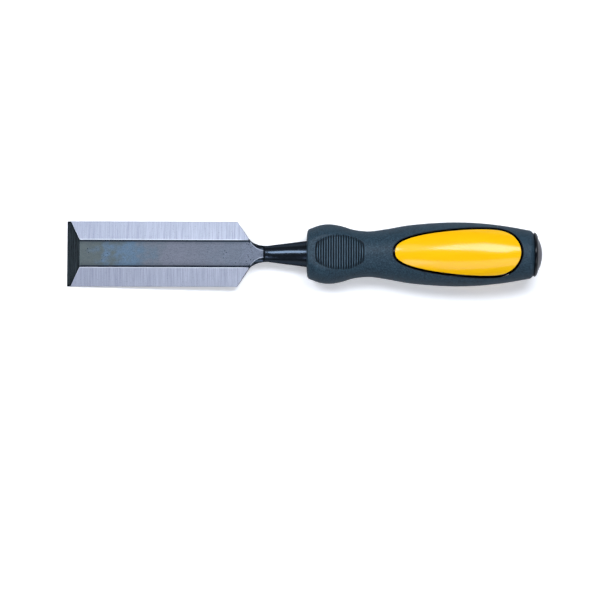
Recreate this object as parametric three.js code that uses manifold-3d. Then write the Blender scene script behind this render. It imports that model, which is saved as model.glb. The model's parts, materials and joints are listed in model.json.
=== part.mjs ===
// Bench chisel, 38 mm, with a two-material handle and a domed strike cap.
//
// Millimetres, +Z up. Each piece is drawn in the tool's own frame: X runs along the tool from the cutting edge
// (x = 0) towards the strike cap, Y runs across the blade, and z = 0 is the blade's flat back, bevelled face up.
// The tool is then leaned, as it lies on a bench: the cutting edge and the belly of the handle rest on z = 0.

import * as THREE from 'three';
import { mergeVertices } from 'three/addons/utils/BufferGeometryUtils.js';
import Module from 'manifold-3d';

const wasm = await Module();
wasm.setup();

// Clearance left between pieces that touch.
const GAP = 0.3;
// How far a cutting shape reaches past what it cuts.
const CLEAR = 1;

// Blade.
const BLADE_WIDTH = 38.1;
const BLADE_THICKNESS = 4.3;
const BLADE_LENGTH = 99.3;
const SIDE_LAND = 1.3;
const TOP_FLAT_WIDTH = 15.8;
const EDGE_THICKNESS = 0.15;
const GROUND_BEVEL_LENGTH = 7.5;
const SHOULDER_X = 105.6;
const SHOULDER_HALF_WIDTH = 9.5;
const SHOULDER_SWEEP_X = 109;
const FLAT_TIP_X = 114.6;

// Neck, bolster cone and tang, on the handle's axis.
const AXIS_HEIGHT = 3.7;
const NECK_X = 116;
const NECK_RADIUS = 4.7;
const NECK_FLATNESS = [
  [NECK_X, 0.74],
  [139.6, 1],
];
const RAMP_RADIUS = 2.6;
const RAMP_LENGTH = 1.2;
const NOSE_X = 139.6;
const CONE_RADIUS = 7.65;
const BOLSTER_DEPTH = 3;
const TANG_RADIUS = 4.6;
const TANG_TIP_RADIUS = 3.6;
const TANG_END_X = 214;

// Handle: stations of the grip's half width, from the nose to the chamfer before the cap.
const GRIP_STATIONS = [
  [142.2, 15],
  [147, 16.7],
  [153, 17.4],
  [159, 16.55],
  [167, 14.25],
  [176, 13.35],
  [185, 14.45],
  [198, 16.75],
  [211, 18.05],
  [226, 18.7],
  [240, 18.25],
  [254, 16.75],
  [269.6, 14.1],
];
const GRIP_STEPS = 30;
// Half height of the flats that form the thumb pads, from the nose to where they run out.
const PAD_FLATS = [
  [138, 11.7],
  [168, 13.2],
];
const NOSE_RADIUS = 13;
const GRIP_END_X = 271.6;
const GRIP_END_RADIUS = 12.6;
const HANDLE_FLATNESS = [
  [139.6, 0.89],
  [157, 0.875],
  [178, 0.94],
  [226, 0.9],
  [GRIP_END_X, 1],
];

// Core of the handle, inside the soft grip, and the raised panel on each face.
const CORE_TAIL_RADIUS = 10.2;
const CORE_STATIONS = [
  [142.9, 9.6],
  [176, 9.6],
  [205, 12.4],
  [248, 12.4],
  [271.3, CORE_TAIL_RADIUS],
];
const PANEL_FRONT_X = 190.6;
const PANEL_WIDE_X = 240;
const PANEL_REAR_X = 264.3;
const PANEL_HALF_WIDTH = 13.6;
// Exponents of the panel's outline, for the share of the way along and for the width.
const PANEL_FRONT_SHAPE = [1.5, 1 / 2.6];
const PANEL_REAR_SHAPE = [3.6, 1 / 1.8];
const PANEL_GROOVE = 0.8;
const PANEL_STEPS = 22;
const WINDOW_REACH = 30;
const NECK_HOLE_FLARE = 0.5;
const REAR_HOLE_DEPTH = 2;

// Strike cap and the collar that it sits in.
const COLLAR_RADIUS = 12.95;
const COLLAR_RIM = 0.6;
const COLLAR_SHOULDER = [273.4, 11.9];
const COLLAR_MOUTH_X = 274.3;
const COLLAR_FLOOR = 0.7;
const CAP_RADIUS = 9.5;
const CAP_RIM_X = 274.4;
const CAP_APEX_X = 276.9;
const CAP_STEM_RADIUS = 4;
const CAP_STEM_END_X = 250;
const CAP_STEPS = 6;

const ROUND_STEPS = 40;

/** A finish for one piece. */
function finish(color, roughness, metalness) {
  return new THREE.MeshStandardMaterial({ color, roughness, metalness });
}

/** The closed solid of a three.js geometry. */
function solidOf(geometry) {
  geometry.deleteAttribute('normal');
  geometry.deleteAttribute('uv');
  const merged = mergeVertices(geometry, 1e-5);
  return new wasm.Manifold(new wasm.Mesh({
    numProp: 3,
    vertProperties: merged.attributes.position.array,
    triVerts: merged.index.array,
  }));
}

/** One named piece, from its solid. */
function piece(name, solid, material) {
  const { vertProperties, triVerts } = solid.getMesh();
  const geometry = new THREE.BufferGeometry();
  geometry.setAttribute('position', new THREE.BufferAttribute(vertProperties, 3));
  geometry.setIndex(new THREE.BufferAttribute(triVerts, 1));
  geometry.computeVertexNormals();
  const mesh = new THREE.Mesh(geometry, material);
  mesh.name = name;
  return mesh;
}

/** A round solid on the handle's axis, from [x, radius] pairs that run towards +X, flattened by flatness(x). */
function turned(profile, flatness = () => 1) {
  const points = profile.map(([x, radius]) => new THREE.Vector2(radius, x));
  const geometry = new THREE.LatheGeometry(points, ROUND_STEPS);
  geometry.rotateZ(-Math.PI / 2);
  const position = geometry.attributes.position;
  for (let i = 0; i < position.count; i += 1) {
    position.setZ(i, position.getZ(i) * flatness(position.getX(i)));
  }
  geometry.translate(0, 0, AXIS_HEIGHT);
  return solidOf(geometry);
}

/** A closed outline from [u, v] pairs. */
function outline(points) {
  return new THREE.Shape(points.map(([u, v]) => new THREE.Vector2(u, v)));
}

/** A prism of a plan outline, from one height to another. */
function planPrism(shape, low, high) {
  const geometry = new THREE.ExtrudeGeometry(shape, { depth: high - low, bevelEnabled: false });
  geometry.translate(0, 0, low);
  return solidOf(geometry);
}

/** A prism of an outline given in X and Z, that runs across the whole blade. */
function sidePrism(shape) {
  const depth = BLADE_WIDTH + 2 * CLEAR;
  const geometry = new THREE.ExtrudeGeometry(shape, { depth, bevelEnabled: false });
  geometry.rotateX(Math.PI / 2);
  geometry.translate(0, depth / 2, 0);
  return solidOf(geometry);
}

/** A prism of an outline given in Y and Z, that runs along the blade. */
function sectionPrism(shape, length) {
  const geometry = new THREE.ExtrudeGeometry(shape, { depth: length, bevelEnabled: false });
  const turn = new THREE.Matrix4().makeBasis(
    new THREE.Vector3(0, 1, 0),
    new THREE.Vector3(0, 0, 1),
    new THREE.Vector3(1, 0, 0),
  );
  geometry.applyMatrix4(turn);
  return solidOf(geometry);
}

/** Points of a smooth curve through the stations, at even steps. */
function smooth(stations, steps) {
  const curve = new THREE.SplineCurve(stations.map(([x, r]) => new THREE.Vector2(x, r)));
  return curve.getPoints(steps).map((p) => [p.x, p.y]);
}

/** A value that eases from one [x, value] station to the next and stays level past the last. */
function eased(stations, x) {
  let value = stations[0][1];
  for (let i = 1; i < stations.length; i += 1) {
    const [x0] = stations[i - 1];
    const [x1, next] = stations[i];
    value += (next - value) * THREE.MathUtils.smoothstep(x, x0, x1);
  }
  return value;
}

/** Height over width of the handle: round at its ends, flatter at the thumb pads and the belly. */
function handleFlatness(x) {
  return eased(HANDLE_FLATNESS, x);
}

/** Height over width of the neck: oval at its thinnest, round where it meets the handle. */
function neckFlatness(x) {
  return eased(NECK_FLATNESS, x);
}

/** The blade's plan: full width, straight shoulders, then a concave curve in to the neck. */
function bladePlan() {
  const half = BLADE_WIDTH / 2;
  const shape = new THREE.Shape();
  shape.moveTo(0, -half);
  shape.lineTo(BLADE_LENGTH, -half);
  shape.lineTo(SHOULDER_X, -SHOULDER_HALF_WIDTH);
  shape.quadraticCurveTo(SHOULDER_SWEEP_X, -NECK_RADIUS, NECK_X + CLEAR, -NECK_RADIUS);
  shape.lineTo(NECK_X + CLEAR, NECK_RADIUS);
  shape.quadraticCurveTo(SHOULDER_SWEEP_X, NECK_RADIUS, SHOULDER_X, SHOULDER_HALF_WIDTH);
  shape.lineTo(BLADE_LENGTH, half);
  shape.lineTo(0, half);
  return shape;
}

/** The blade's cross-section: flat back, upright lands, side bevels and a top flat. */
function bladeSection() {
  const half = BLADE_WIDTH / 2;
  const flat = TOP_FLAT_WIDTH / 2;
  return outline([
    [-half, 0],
    [half, 0],
    [half, SIDE_LAND],
    [flat, BLADE_THICKNESS],
    [-flat, BLADE_THICKNESS],
    [-half, SIDE_LAND],
  ]);
}

/** The blade from the side: the ground bevel rises from the cutting edge. */
function bladeSide() {
  const slope = (BLADE_THICKNESS - EDGE_THICKNESS) / GROUND_BEVEL_LENGTH;
  return outline([
    [0, 0],
    [NECK_X + CLEAR, 0],
    [NECK_X + CLEAR, BLADE_THICKNESS + CLEAR],
    [GROUND_BEVEL_LENGTH + CLEAR / slope, BLADE_THICKNESS + CLEAR],
    [0, EDGE_THICKNESS],
  ]);
}

/** Blade, neck, bolster and tang: one forging. */
function bladeForging() {
  const flatPart = sectionPrism(bladeSection(), NECK_X + CLEAR)
    .intersect(planPrism(bladePlan(), -CLEAR, BLADE_THICKNESS + CLEAR))
    .intersect(sidePrism(bladeSide()));
  const slope = (CONE_RADIUS - NECK_RADIUS) / (NOSE_X - NECK_X);
  const bolsterX = NOSE_X + BOLSTER_DEPTH;
  const bolsterRadius = CONE_RADIUS + slope * BOLSTER_DEPTH;
  const neck = turned([
    [FLAT_TIP_X - RAMP_LENGTH / 2, 0],
    [FLAT_TIP_X - RAMP_LENGTH / 2, RAMP_RADIUS],
    [FLAT_TIP_X + RAMP_LENGTH / 2, NECK_RADIUS],
    [NECK_X, NECK_RADIUS],
    [NOSE_X, CONE_RADIUS],
    [bolsterX, bolsterRadius],
    [bolsterX, TANG_RADIUS],
    [TANG_END_X, TANG_TIP_RADIUS],
    [TANG_END_X, 0],
  ], neckFlatness);
  return flatPart.add(neck);
}

/** The full outer form of the handle, before it is divided into core and grip. */
function handleForm() {
  const form = turned([
    [NOSE_X, 0],
    [NOSE_X, NOSE_RADIUS],
    ...smooth(GRIP_STATIONS, GRIP_STEPS),
    [GRIP_END_X, GRIP_END_RADIUS],
    [GRIP_END_X, 0],
  ], handleFlatness);
  return form.intersect(padSlab());
}

/** A slab whose two faces are the thumb flats at the front and stand clear of the handle behind them. */
function padSlab() {
  const clear = BLADE_WIDTH;
  const upper = [
    ...PAD_FLATS,
    [PAD_FLATS[1][0], clear],
    [GRIP_END_X + CLEAR, clear],
  ];
  const lower = upper.map(([x, height]) => [x, AXIS_HEIGHT - height]);
  const raised = upper.map(([x, height]) => [x, AXIS_HEIGHT + height]);
  return sidePrism(outline([...lower, ...raised.reverse()]));
}

/** The rod inside the handle, grown by a margin. */
function coreRod(margin = 0) {
  const stations = CORE_STATIONS.map(([x, r]) => [x, r + margin]);
  const [frontX] = stations[0];
  const [rearX] = stations[stations.length - 1];
  return turned([
    [frontX - margin, 0],
    [frontX - margin, stations[0][1]],
    ...stations.slice(1, -1),
    [rearX + margin, stations[stations.length - 1][1]],
    [rearX + margin, 0],
  ]);
}

/** Half width of the panel at x: a long blunt front and a short full rear. */
function panelHalfWidth(x) {
  const front = x < PANEL_WIDE_X;
  const [along, across] = front ? PANEL_FRONT_SHAPE : PANEL_REAR_SHAPE;
  const tip = front ? PANEL_FRONT_X : PANEL_REAR_X;
  const away = (x - PANEL_WIDE_X) / (tip - PANEL_WIDE_X);
  return PANEL_HALF_WIDTH * Math.max(1 - away ** along, 0) ** across;
}

/** The panel's egg-shaped prism, through the handle from top to bottom, grown by a margin. */
function panelPrism(margin = 0) {
  const middle = (PANEL_FRONT_X + PANEL_REAR_X) / 2;
  const reach = (PANEL_REAR_X - PANEL_FRONT_X) / 2;
  const edge = [];
  for (let i = 0; i <= PANEL_STEPS; i += 1) {
    const turn = (Math.PI * i) / PANEL_STEPS;
    const x = middle - reach * Math.cos(turn);
    edge.push([x - margin * Math.cos(turn), panelHalfWidth(x) + margin * Math.sin(turn)]);
  }
  const back = edge.slice(1, -1).reverse().map(([x, y]) => [x, -y]);
  return planPrism(
    outline([...edge, ...back].reverse()),
    AXIS_HEIGHT - WINDOW_REACH,
    AXIS_HEIGHT + WINDOW_REACH,
  );
}

/** Hard core with a raised panel on each face, a bore for the tang and one for the cap's stem. */
function handleCore() {
  const tangBore = turned([
    [NOSE_X, 0],
    [NOSE_X, TANG_RADIUS + GAP],
    [NOSE_X + BOLSTER_DEPTH, TANG_RADIUS + GAP],
    [TANG_END_X + GAP, TANG_TIP_RADIUS + GAP],
    [TANG_END_X + GAP, 0],
  ]);
  const stemBore = turned([
    [CAP_STEM_END_X - GAP, 0],
    [CAP_STEM_END_X - GAP, CAP_STEM_RADIUS + GAP],
    [GRIP_END_X + CLEAR, CAP_STEM_RADIUS + GAP],
    [GRIP_END_X + CLEAR, 0],
  ]);
  return coreRod()
    .add(handleForm().intersect(panelPrism()))
    .subtract(tangBore)
    .subtract(stemBore);
}

/** Soft grip moulded round the core, with a window for each panel and a hole for the neck. */
function softGrip() {
  const bolsterEnd = NOSE_X + BOLSTER_DEPTH + CLEAR;
  const neckHole = turned([
    [NOSE_X - CLEAR, 0],
    [NOSE_X - CLEAR, CONE_RADIUS + GAP],
    [bolsterEnd, CONE_RADIUS + GAP + NECK_HOLE_FLARE],
    [bolsterEnd, 0],
  ]);
  const rearHole = turned([
    [GRIP_END_X - REAR_HOLE_DEPTH, 0],
    [GRIP_END_X - REAR_HOLE_DEPTH, CORE_TAIL_RADIUS + GAP],
    [GRIP_END_X + CLEAR, CORE_TAIL_RADIUS + GAP],
    [GRIP_END_X + CLEAR, 0],
  ]);
  return handleForm()
    .subtract(coreRod(GAP))
    .subtract(panelPrism(PANEL_GROOVE))
    .subtract(neckHole)
    .subtract(rearHole);
}

/** Collar behind the grip: a sloped ring whose dished mouth holds the strike cap. */
function capCollar() {
  const low = GRIP_END_X + GAP;
  const floor = low + COLLAR_FLOOR;
  const bore = CAP_STEM_RADIUS + GAP;
  const mouth = CAP_RADIUS + GAP;
  return turned([
    [low, bore],
    [low, COLLAR_RADIUS],
    [low + COLLAR_RIM, COLLAR_RADIUS],
    COLLAR_SHOULDER,
    [COLLAR_MOUTH_X, mouth],
    [floor, mouth],
    [floor, bore],
    [low, bore],
  ]);
}

/** Strike cap: a domed head, and a stem that is held in the core. */
function strikeCap() {
  const seat = GRIP_END_X + COLLAR_FLOOR + 2 * GAP;
  const rise = CAP_APEX_X - CAP_RIM_X;
  const radius = (CAP_RADIUS ** 2 + rise ** 2) / (2 * rise);
  const dome = [];
  for (let i = 0; i < CAP_STEPS; i += 1) {
    const r = CAP_RADIUS * (1 - i / CAP_STEPS);
    dome.push([CAP_APEX_X - radius + Math.sqrt(radius ** 2 - r ** 2), r]);
  }
  return turned([
    [CAP_STEM_END_X, 0],
    [CAP_STEM_END_X, CAP_STEM_RADIUS],
    [seat, CAP_STEM_RADIUS],
    [seat, CAP_RADIUS],
    ...dome,
    [CAP_APEX_X, 0],
  ]);
}

/** Angle at which the tool lies: the line from the cutting edge that touches the belly of the handle. */
function leanAngle() {
  const behindPads = smooth(GRIP_STATIONS, GRIP_STEPS).filter(([x]) => x > PAD_FLATS[1][0]);
  const drops = behindPads.map(([x, r]) => Math.atan((r * handleFlatness(x) - AXIS_HEIGHT) / x));
  return Math.max(...drops);
}

const tool = new THREE.Group();
tool.add(
  piece('blade', bladeForging(), finish('#8f99ad', 0.35, 0.9)),
  piece('handle_core', handleCore(), finish('#fcc41c', 0.25, 0)),
  piece('soft_grip', softGrip(), finish('#2b3d4c', 0.7, 0)),
  piece('cap_collar', capCollar(), finish('#14181c', 0.2, 0)),
  piece('strike_cap', strikeCap(), finish('#a8a4ad', 0.3, 1)),
);
tool.rotation.y = -leanAngle();

const bench_chisel = new THREE.Group();
bench_chisel.add(tool);
bench_chisel.updateMatrixWorld(true);
const box = new THREE.Box3().setFromObject(bench_chisel, true);
tool.position.set(-(box.min.x + box.max.x) / 2, 0, -box.min.z);

export default bench_chisel;
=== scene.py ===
"""Visual model of a wide bevel-edged bench chisel with a soft-grip handle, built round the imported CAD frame.

Lengths are millimetres in the tool's own frame unless a docstring says metres. X runs along the tool from
the cutting edge (x = 0) towards the strike cap, Y runs across the blade, and z = 0 is the blade's flat back,
bevelled face up. ToolFrame carries finished points into the row frame, in metres, where the tool leans on its
cutting edge and its belly.
"""

import json
import logging
import math
from dataclasses import dataclass, field
from enum import Enum

import bmesh
import bpy
import numpy as np
from mathutils import Matrix, Vector


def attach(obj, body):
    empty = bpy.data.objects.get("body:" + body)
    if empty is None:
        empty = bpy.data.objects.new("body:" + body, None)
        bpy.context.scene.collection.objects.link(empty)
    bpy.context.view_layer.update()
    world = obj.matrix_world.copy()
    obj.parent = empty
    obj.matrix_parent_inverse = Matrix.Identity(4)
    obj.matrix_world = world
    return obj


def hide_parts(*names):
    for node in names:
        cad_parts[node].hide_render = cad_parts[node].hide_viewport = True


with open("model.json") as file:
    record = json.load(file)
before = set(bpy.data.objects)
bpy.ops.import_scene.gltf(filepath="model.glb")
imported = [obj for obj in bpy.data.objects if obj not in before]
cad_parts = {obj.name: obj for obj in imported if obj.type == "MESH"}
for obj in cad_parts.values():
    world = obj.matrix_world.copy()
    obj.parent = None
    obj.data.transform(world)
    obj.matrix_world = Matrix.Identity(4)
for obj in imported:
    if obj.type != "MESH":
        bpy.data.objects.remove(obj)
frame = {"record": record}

LOG = logging.getLogger("bench_chisel")
METRES = 0.001
QUARTER = np.pi / 2
TINY = 1e-6
BACK_MOUNT_X = 50.0
AXIS_HEIGHT = 3.7  # of the neck and the handle over the blade's back
NOSE_X = 139.6  # where the grip's front face stands
MERGE = 2e-6  # metres within which points of neighbouring grids are one
SLIVER = 1e-7  # metres under which an edge is dropped
NEVER_SHARP = 180.0  # degrees: no edge turns further
NOISE_RANGE = (0.3, 0.7)  # where most values of a noise lie

Array = np.ndarray
Number = float | Array
Socket = bpy.types.NodeSocket
Input = Socket | float | tuple
Pair = tuple[float, float]
Point = tuple[float, float, float]
Colour = tuple[float, float, float]
Stations = tuple[Pair, ...]
Material = bpy.types.Material
Piece = bpy.types.Object


class Face(Enum):
    """The two working faces of the handle: each has a panel and a thumb pad."""

    UPPER = 1
    LOWER = -1


@dataclass(frozen=True)
class ToolFrame:
    """The tool's own frame, seen from the row frame.

    Attributes:
        lean: angle in radians by which the tool's X axis rises.
        edge: where the middle of the cutting edge lies, in metres.
    """

    lean: float
    edge: Point

    @classmethod
    def from_record(cls, record: dict) -> "ToolFrame":
        """Reads the lean and the place from the mount on the blade's flat back.

        Args:
            record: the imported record.

        Returns:
            The tool's frame.
        """
        mount = next(m for m in record["mounts"] if m["name"] == "blade_back")
        rise, _, down = mount["axis"]
        lean = math.atan2(rise, -down)
        reach = BACK_MOUNT_X * METRES
        x, y, z = mount["pos_m"]
        return cls(lean, (x - reach * math.cos(lean), y, z - reach * math.sin(lean)))

    def turn(self, x: Number, y: Number, z: Number) -> tuple[Number, Number, Number]:
        """A direction of the tool's frame, turned about Y into the row frame."""
        c, s = math.cos(self.lean), math.sin(self.lean)
        return x * c - z * s, y, x * s + z * c

    def place(self, points: Array) -> Array:
        """Points of shape (..., 3) carried into the row frame: turned, then moved to the edge, in metres."""
        return np.stack(self.turn(*np.moveaxis(points, -1, 0)), axis=-1) * METRES + np.array(self.edge)


TOOL = ToolFrame.from_record(frame["record"])


# ---- curves and surfaces


def between(a: Number, b: Number, share: Number) -> Number:
    """The value that lies a share of the way from a to b."""
    return (1 - share) * a + share * b


def smooth_step(x: Array, low: float, high: float) -> Array:
    """Eases from 0 at low to 1 at high, level at both ends."""
    t = np.clip((np.asarray(x, float) - low) / (high - low), 0.0, 1.0)
    return t * t * (3.0 - 2.0 * t)


def soft_min(a: Array, b: Number, blend: float) -> Array:
    """The lesser of two values, rounded off over a blend length where they cross."""
    return 0.5 * (a + b - np.sqrt((a - b) ** 2 + blend**2))


def smooth_curve(stations: Stations, x: Array) -> Array:
    """A smooth curve through stations: a cubic Hermite curve whose slope at a station is the local mean.

    Args:
        stations: (x, value) pairs, rising in x.
        x: where the curve is read.

    Returns:
        The curve's values.
    """
    xs, ys = np.array(stations, float).T
    x = np.clip(np.asarray(x, float), xs[0], xs[-1])
    slope = np.gradient(ys, xs)
    i = np.clip(np.searchsorted(xs, x, side="right") - 1, 0, len(xs) - 2)
    span = xs[i + 1] - xs[i]
    t = (x - xs[i]) / span
    start = (2 * t**3 - 3 * t**2 + 1) * ys[i] + (t**3 - 2 * t**2 + t) * span * slope[i]
    end = (3 * t**2 - 2 * t**3) * ys[i + 1] + (t**3 - t**2) * span * slope[i + 1]
    return start + end


def eased(stations: Stations, x: Array) -> Array:
    """A value that eases from one station to the next and stays level past the last.

    Args:
        stations: (x, value) pairs, rising in x.
        x: where the value is read.

    Returns:
        The eased values.
    """
    value = np.full(np.shape(x), stations[0][1], float)
    for (x0, v0), (x1, v1) in zip(stations, stations[1:]):
        value = value + (v1 - v0) * smooth_step(x, x0, x1)
    return value


def bends(corners: Stations, x: Array) -> Array:
    """A value read off a polyline through corners, level outside them."""
    return np.interp(x, *np.array(corners, float).T)


def curve_rows(start: Array, control: Array, end: Array, count: int) -> Array:
    """Points of a quadratic Bezier curve: the mean of its three points weighted by (1-t)^2, 2t(1-t) and t^2.

    Args:
        start: first point, or an array of first points of shape (n, 2).
        control: the point that the curve bends towards.
        end: last point.
        count: how many points.

    Returns:
        An array of shape (n, count, 2), or (count, 2) for single points.
    """
    t = np.linspace(0.0, 1.0, count)[:, None]
    start, control, end = (np.asarray(p, float)[..., None, :] for p in (start, control, end))
    return (1 - t) ** 2 * start + 2 * t * (1 - t) * control + t**2 * end


def turned(profile: Array, steps: int) -> Array:
    """A surface of revolution on the handle's axis: each point of the profile carried round in a circle.

    Args:
        profile: (x, radius) pairs, of shape (n, 2).
        steps: how many steps make the turn.

    Returns:
        A grid of points of shape (n, steps + 1, 3).
    """
    turn = np.linspace(0.0, 2.0 * np.pi, steps + 1)
    x = np.broadcast_to(profile[:, :1], (len(profile), steps + 1))
    return np.stack([x, profile[:, 1:] * np.sin(turn), profile[:, 1:] * np.cos(turn) + AXIS_HEIGHT], axis=-1)


def distance_to(outline: Array, x: Array, y: Array) -> Array:
    """Distance from points to an outline: the least distance to a dense row of its points.

    Args:
        outline: (x, y) pairs of one side of a symmetric outline.
        x: points' x, of any shape.
        y: points' y, of the same shape.

    Returns:
        The distances.
    """
    rows = np.linspace(0, len(outline) - 1, 8 * len(outline))
    dense = np.stack([np.interp(rows, np.arange(len(outline)), outline[:, k]) for k in (0, 1)], axis=1)
    flat = np.stack([x.ravel(), np.abs(y).ravel()], axis=1)
    best = np.full(len(flat), np.inf)
    for block in np.array_split(dense, 24):
        gap = np.hypot(flat[:, None, 0] - block[None, :, 0], flat[:, None, 1] - block[None, :, 1])
        best = np.minimum(best, gap.min(axis=1))
    return best.reshape(x.shape)


@dataclass
class Surface:
    """Collects grids of points into one closed mesh.

    Attributes:
        points: blocks of points, each of shape (n, 3).
        faces: blocks of quads, each of shape (m, 4).
        slots: blocks of material indices, one for each quad.
        marks: blocks of one number for each point, which the finishes read as painted light: from 0 to 1 the
        painted shade in a groove, a gap or along an edge, and below 0 a painted highlight on a ridge or edge.
        count: how many points there are so far.
    """

    points: list[Array] = field(default_factory=list)
    faces: list[Array] = field(default_factory=list)
    slots: list[Array] = field(default_factory=list)
    marks: list[Array] = field(default_factory=list)
    count: int = 0

    def add(self, grid: Array, slot: int | Array = 0, mark: Number = 0.0) -> None:
        """Adds a grid of points, each four neighbours of which make a face.

        Args:
            grid: points of shape (rows, columns, 3).
            slot: material index, the same all over or of shape (rows - 1, columns - 1).
            mark: the points' painted light value, painted shade above 0 and a painted highlight below 0, the
                same all
            over or of shape (rows, columns).
        """
        rows, columns = grid.shape[:2]
        index = np.arange(rows * columns).reshape(rows, columns) + self.count
        quads = np.stack([index[:-1, :-1], index[1:, :-1], index[1:, 1:], index[:-1, 1:]], axis=-1)
        self.points.append(grid.reshape(-1, 3))
        self.faces.append(quads.reshape(-1, 4))
        self.slots.append(np.broadcast_to(slot, (rows - 1, columns - 1)).reshape(-1))
        self.marks.append(np.broadcast_to(mark, (rows, columns)).reshape(-1))
        self.count += rows * columns

    def build(self, name: str, materials: list[Material], sharp: float = NEVER_SHARP) -> Piece:
        """Makes the mesh: grids are joined where they meet, flat faces dropped, and normals turned outwards.

        Args:
            name: the piece's name.
            materials: materials in the order of the slots.
            sharp: angle in degrees past which an edge is drawn sharp.

        Returns:
            The finished object, at the origin.
        """
        mesh = bpy.data.meshes.new(name)
        mesh.from_pydata(TOOL.place(np.concatenate(self.points)), [], np.concatenate(self.faces).tolist())
        mesh.polygons.foreach_set("material_index", np.concatenate(self.slots).astype(np.int32))
        # Painted shade and painted highlight values go into a point attribute that the finishes read.
        painted_light = mesh.attributes.new("painted_light", "FLOAT", "POINT")
        painted_light.data.foreach_set("value", np.concatenate(self.marks).astype(np.float32))
        solid = bmesh.new()
        solid.from_mesh(mesh)
        bmesh.ops.remove_doubles(solid, verts=solid.verts, dist=MERGE)
        bmesh.ops.dissolve_degenerate(solid, edges=solid.edges, dist=SLIVER)
        bmesh.ops.delete(solid, geom=[v for v in solid.verts if not v.link_faces], context="VERTS")
        bmesh.ops.recalc_face_normals(solid, faces=solid.faces)
        solid.to_mesh(mesh)
        solid.free()
        for material in materials:
            mesh.materials.append(material)
        mesh.shade_smooth()
        if sharp < NEVER_SHARP:
            mesh.set_sharp_from_angle(angle=math.radians(sharp))
        piece = bpy.data.objects.new(name, mesh)
        bpy.context.scene.collection.objects.link(piece)
        return piece


# ---- finishes


class Graph:
    """A material's node tree, with short calls for the nodes that the finishes share."""

    def __init__(self, name: str) -> None:
        """Starts a material whose place is Object coordinates turned back by the lean, in millimetres.

        Args:
            name: the material's name.
        """
        self.material = bpy.data.materials.new(name)
        self.material.use_nodes = True
        self.tree = self.material.node_tree
        self.shader = next(n for n in self.tree.nodes if n.type == "BSDF_PRINCIPLED")
        edge_x = TOOL.edge[0] / METRES
        tool_frame = {
            "Vector": self.node("ShaderNodeTexCoord", {}).outputs["Object"],
            "Location": (-edge_x * math.cos(TOOL.lean), 0.0, edge_x * math.sin(TOOL.lean)),
            "Rotation": (0.0, TOOL.lean, 0.0),
            "Scale": (1.0 / METRES,) * 3,
        }
        self.place = self.node("ShaderNodeMapping", tool_frame).outputs["Vector"]

    def feed(self, socket: Socket, value: Input) -> None:
        """Links a socket to another node's, or sets it to a plain number, vector or colour.

        Args:
            socket: the socket fed.
            value: what goes into it.
        """
        if isinstance(value, Socket):
            self.tree.links.new(value, socket)
        else:
            socket.default_value = (*value, 1.0) if socket.type == "RGBA" else value

    def node(self, kind: str, inputs: dict[str | int, Input], **settings: object) -> bpy.types.Node:
        """Adds a node.

        Args:
            kind: the node's type.
            inputs: what goes into its sockets, by name or by place.
            settings: the node's own settings.

        Returns:
            The node.
        """
        made = self.tree.nodes.new(kind)
        for key, setting in settings.items():
            setattr(made, key, setting)
        for key, value in inputs.items():
            self.feed(made.inputs[key], value)
        return made

    def shade(self, **sockets: Input) -> None:
        """Feeds the shader's own sockets; an underscore in a name stands for a space."""
        for key, value in sockets.items():
            self.feed(self.shader.inputs[key.replace("_", " ")], value)

    def stretched(self, *factors: float) -> Socket:
        """The place multiplied by a factor on each axis."""
        return self.node("ShaderNodeMapping", {"Vector": self.place, "Scale": factors}).outputs["Vector"]

    def axis(self, name: str) -> Socket:
        """One coordinate of the place, X, Y or Z."""
        return self.node("ShaderNodeSeparateXYZ", {"Vector": self.place}).outputs[name]

    def noise(self, size: float, detail: float = 3.0, rough: float = 0.5, at: Socket | None = None) -> Socket:
        """Cloudy noise.

        Args:
            size: about how wide a blotch is.
            detail: octaves.
            rough: strength of the finer octaves.
            at: coordinates, the place unless given.

        Returns:
            The noise value's socket.
        """
        inputs = {"Vector": at or self.place, "Scale": 1.0 / size, "Detail": detail, "Roughness": rough}
        return self.node("ShaderNodeTexNoise", inputs).outputs["Fac"]

    def levels(self, value: Socket, span: Pair, onto: Pair = (0.0, 1.0)) -> Socket:
        """Maps a span of values onto another, level outside it."""
        ends = zip(("From Min", "From Max", "To Min", "To Max"), (*span, *onto))
        return self.node("ShaderNodeMapRange", {"Value": value, **dict(ends)}).outputs["Result"]

    def math(self, operation: str, a: Input, b: Input) -> Socket:
        """One arithmetic step on two values."""
        return self.node("ShaderNodeMath", {0: a, 1: b}, operation=operation).outputs["Value"]

    def mix(self, amount: Socket, a: Input, b: Input) -> Socket:
        """Mixes two colours: the first where the amount is 0, the second where it is 1."""
        inputs = {"Factor": amount, "A": a, "B": b}
        return self.node("ShaderNodeMix", inputs, data_type="RGBA").outputs["Result"]

    def painted_light(self, wear_and_highlight: bool = False) -> Socket:
        """From 0 to 1: the painted shade in a groove, gap or edge line; with the flag set, the painted
        highlight on a ridge or edge.
        """
        value = self.node("ShaderNodeAttribute", {}, attribute_name="painted_light").outputs["Fac"]
        return self.levels(value, (0.0, -1.0) if wear_and_highlight else (0.0, 1.0))

    def ramp(self, value: Socket, *stops: Pair) -> Socket:
        """Maps a value through stops, level outside them.

        Args:
            value: what is mapped.
            stops: (position, level) pairs.

        Returns:
            The level's socket.
        """
        made = self.node("ShaderNodeValToRGB", {"Fac": value})
        while len(made.color_ramp.elements) < len(stops):
            made.color_ramp.elements.new(0.5)
        for element, (position, level) in zip(made.color_ramp.elements, stops):
            element.position = position
            element.color = (level, level, level, 1.0)
        return made.outputs["Color"]

    def bump(self, height: Socket, depth: float, strength: float = 1.0) -> None:
        """Raises the surface by a height pattern, over any bump that it has.

        Args:
            height: the pattern.
            depth: how far a value of 1 stands out.
            strength: how much of the bump shows.
        """
        inputs = {"Height": height, "Strength": strength, "Distance": depth * METRES}
        normal = self.shader.inputs["Normal"]
        if normal.is_linked:
            inputs["Normal"] = normal.links[0].from_socket
        self.shade(Normal=self.node("ShaderNodeBump", inputs).outputs["Normal"])


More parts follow.
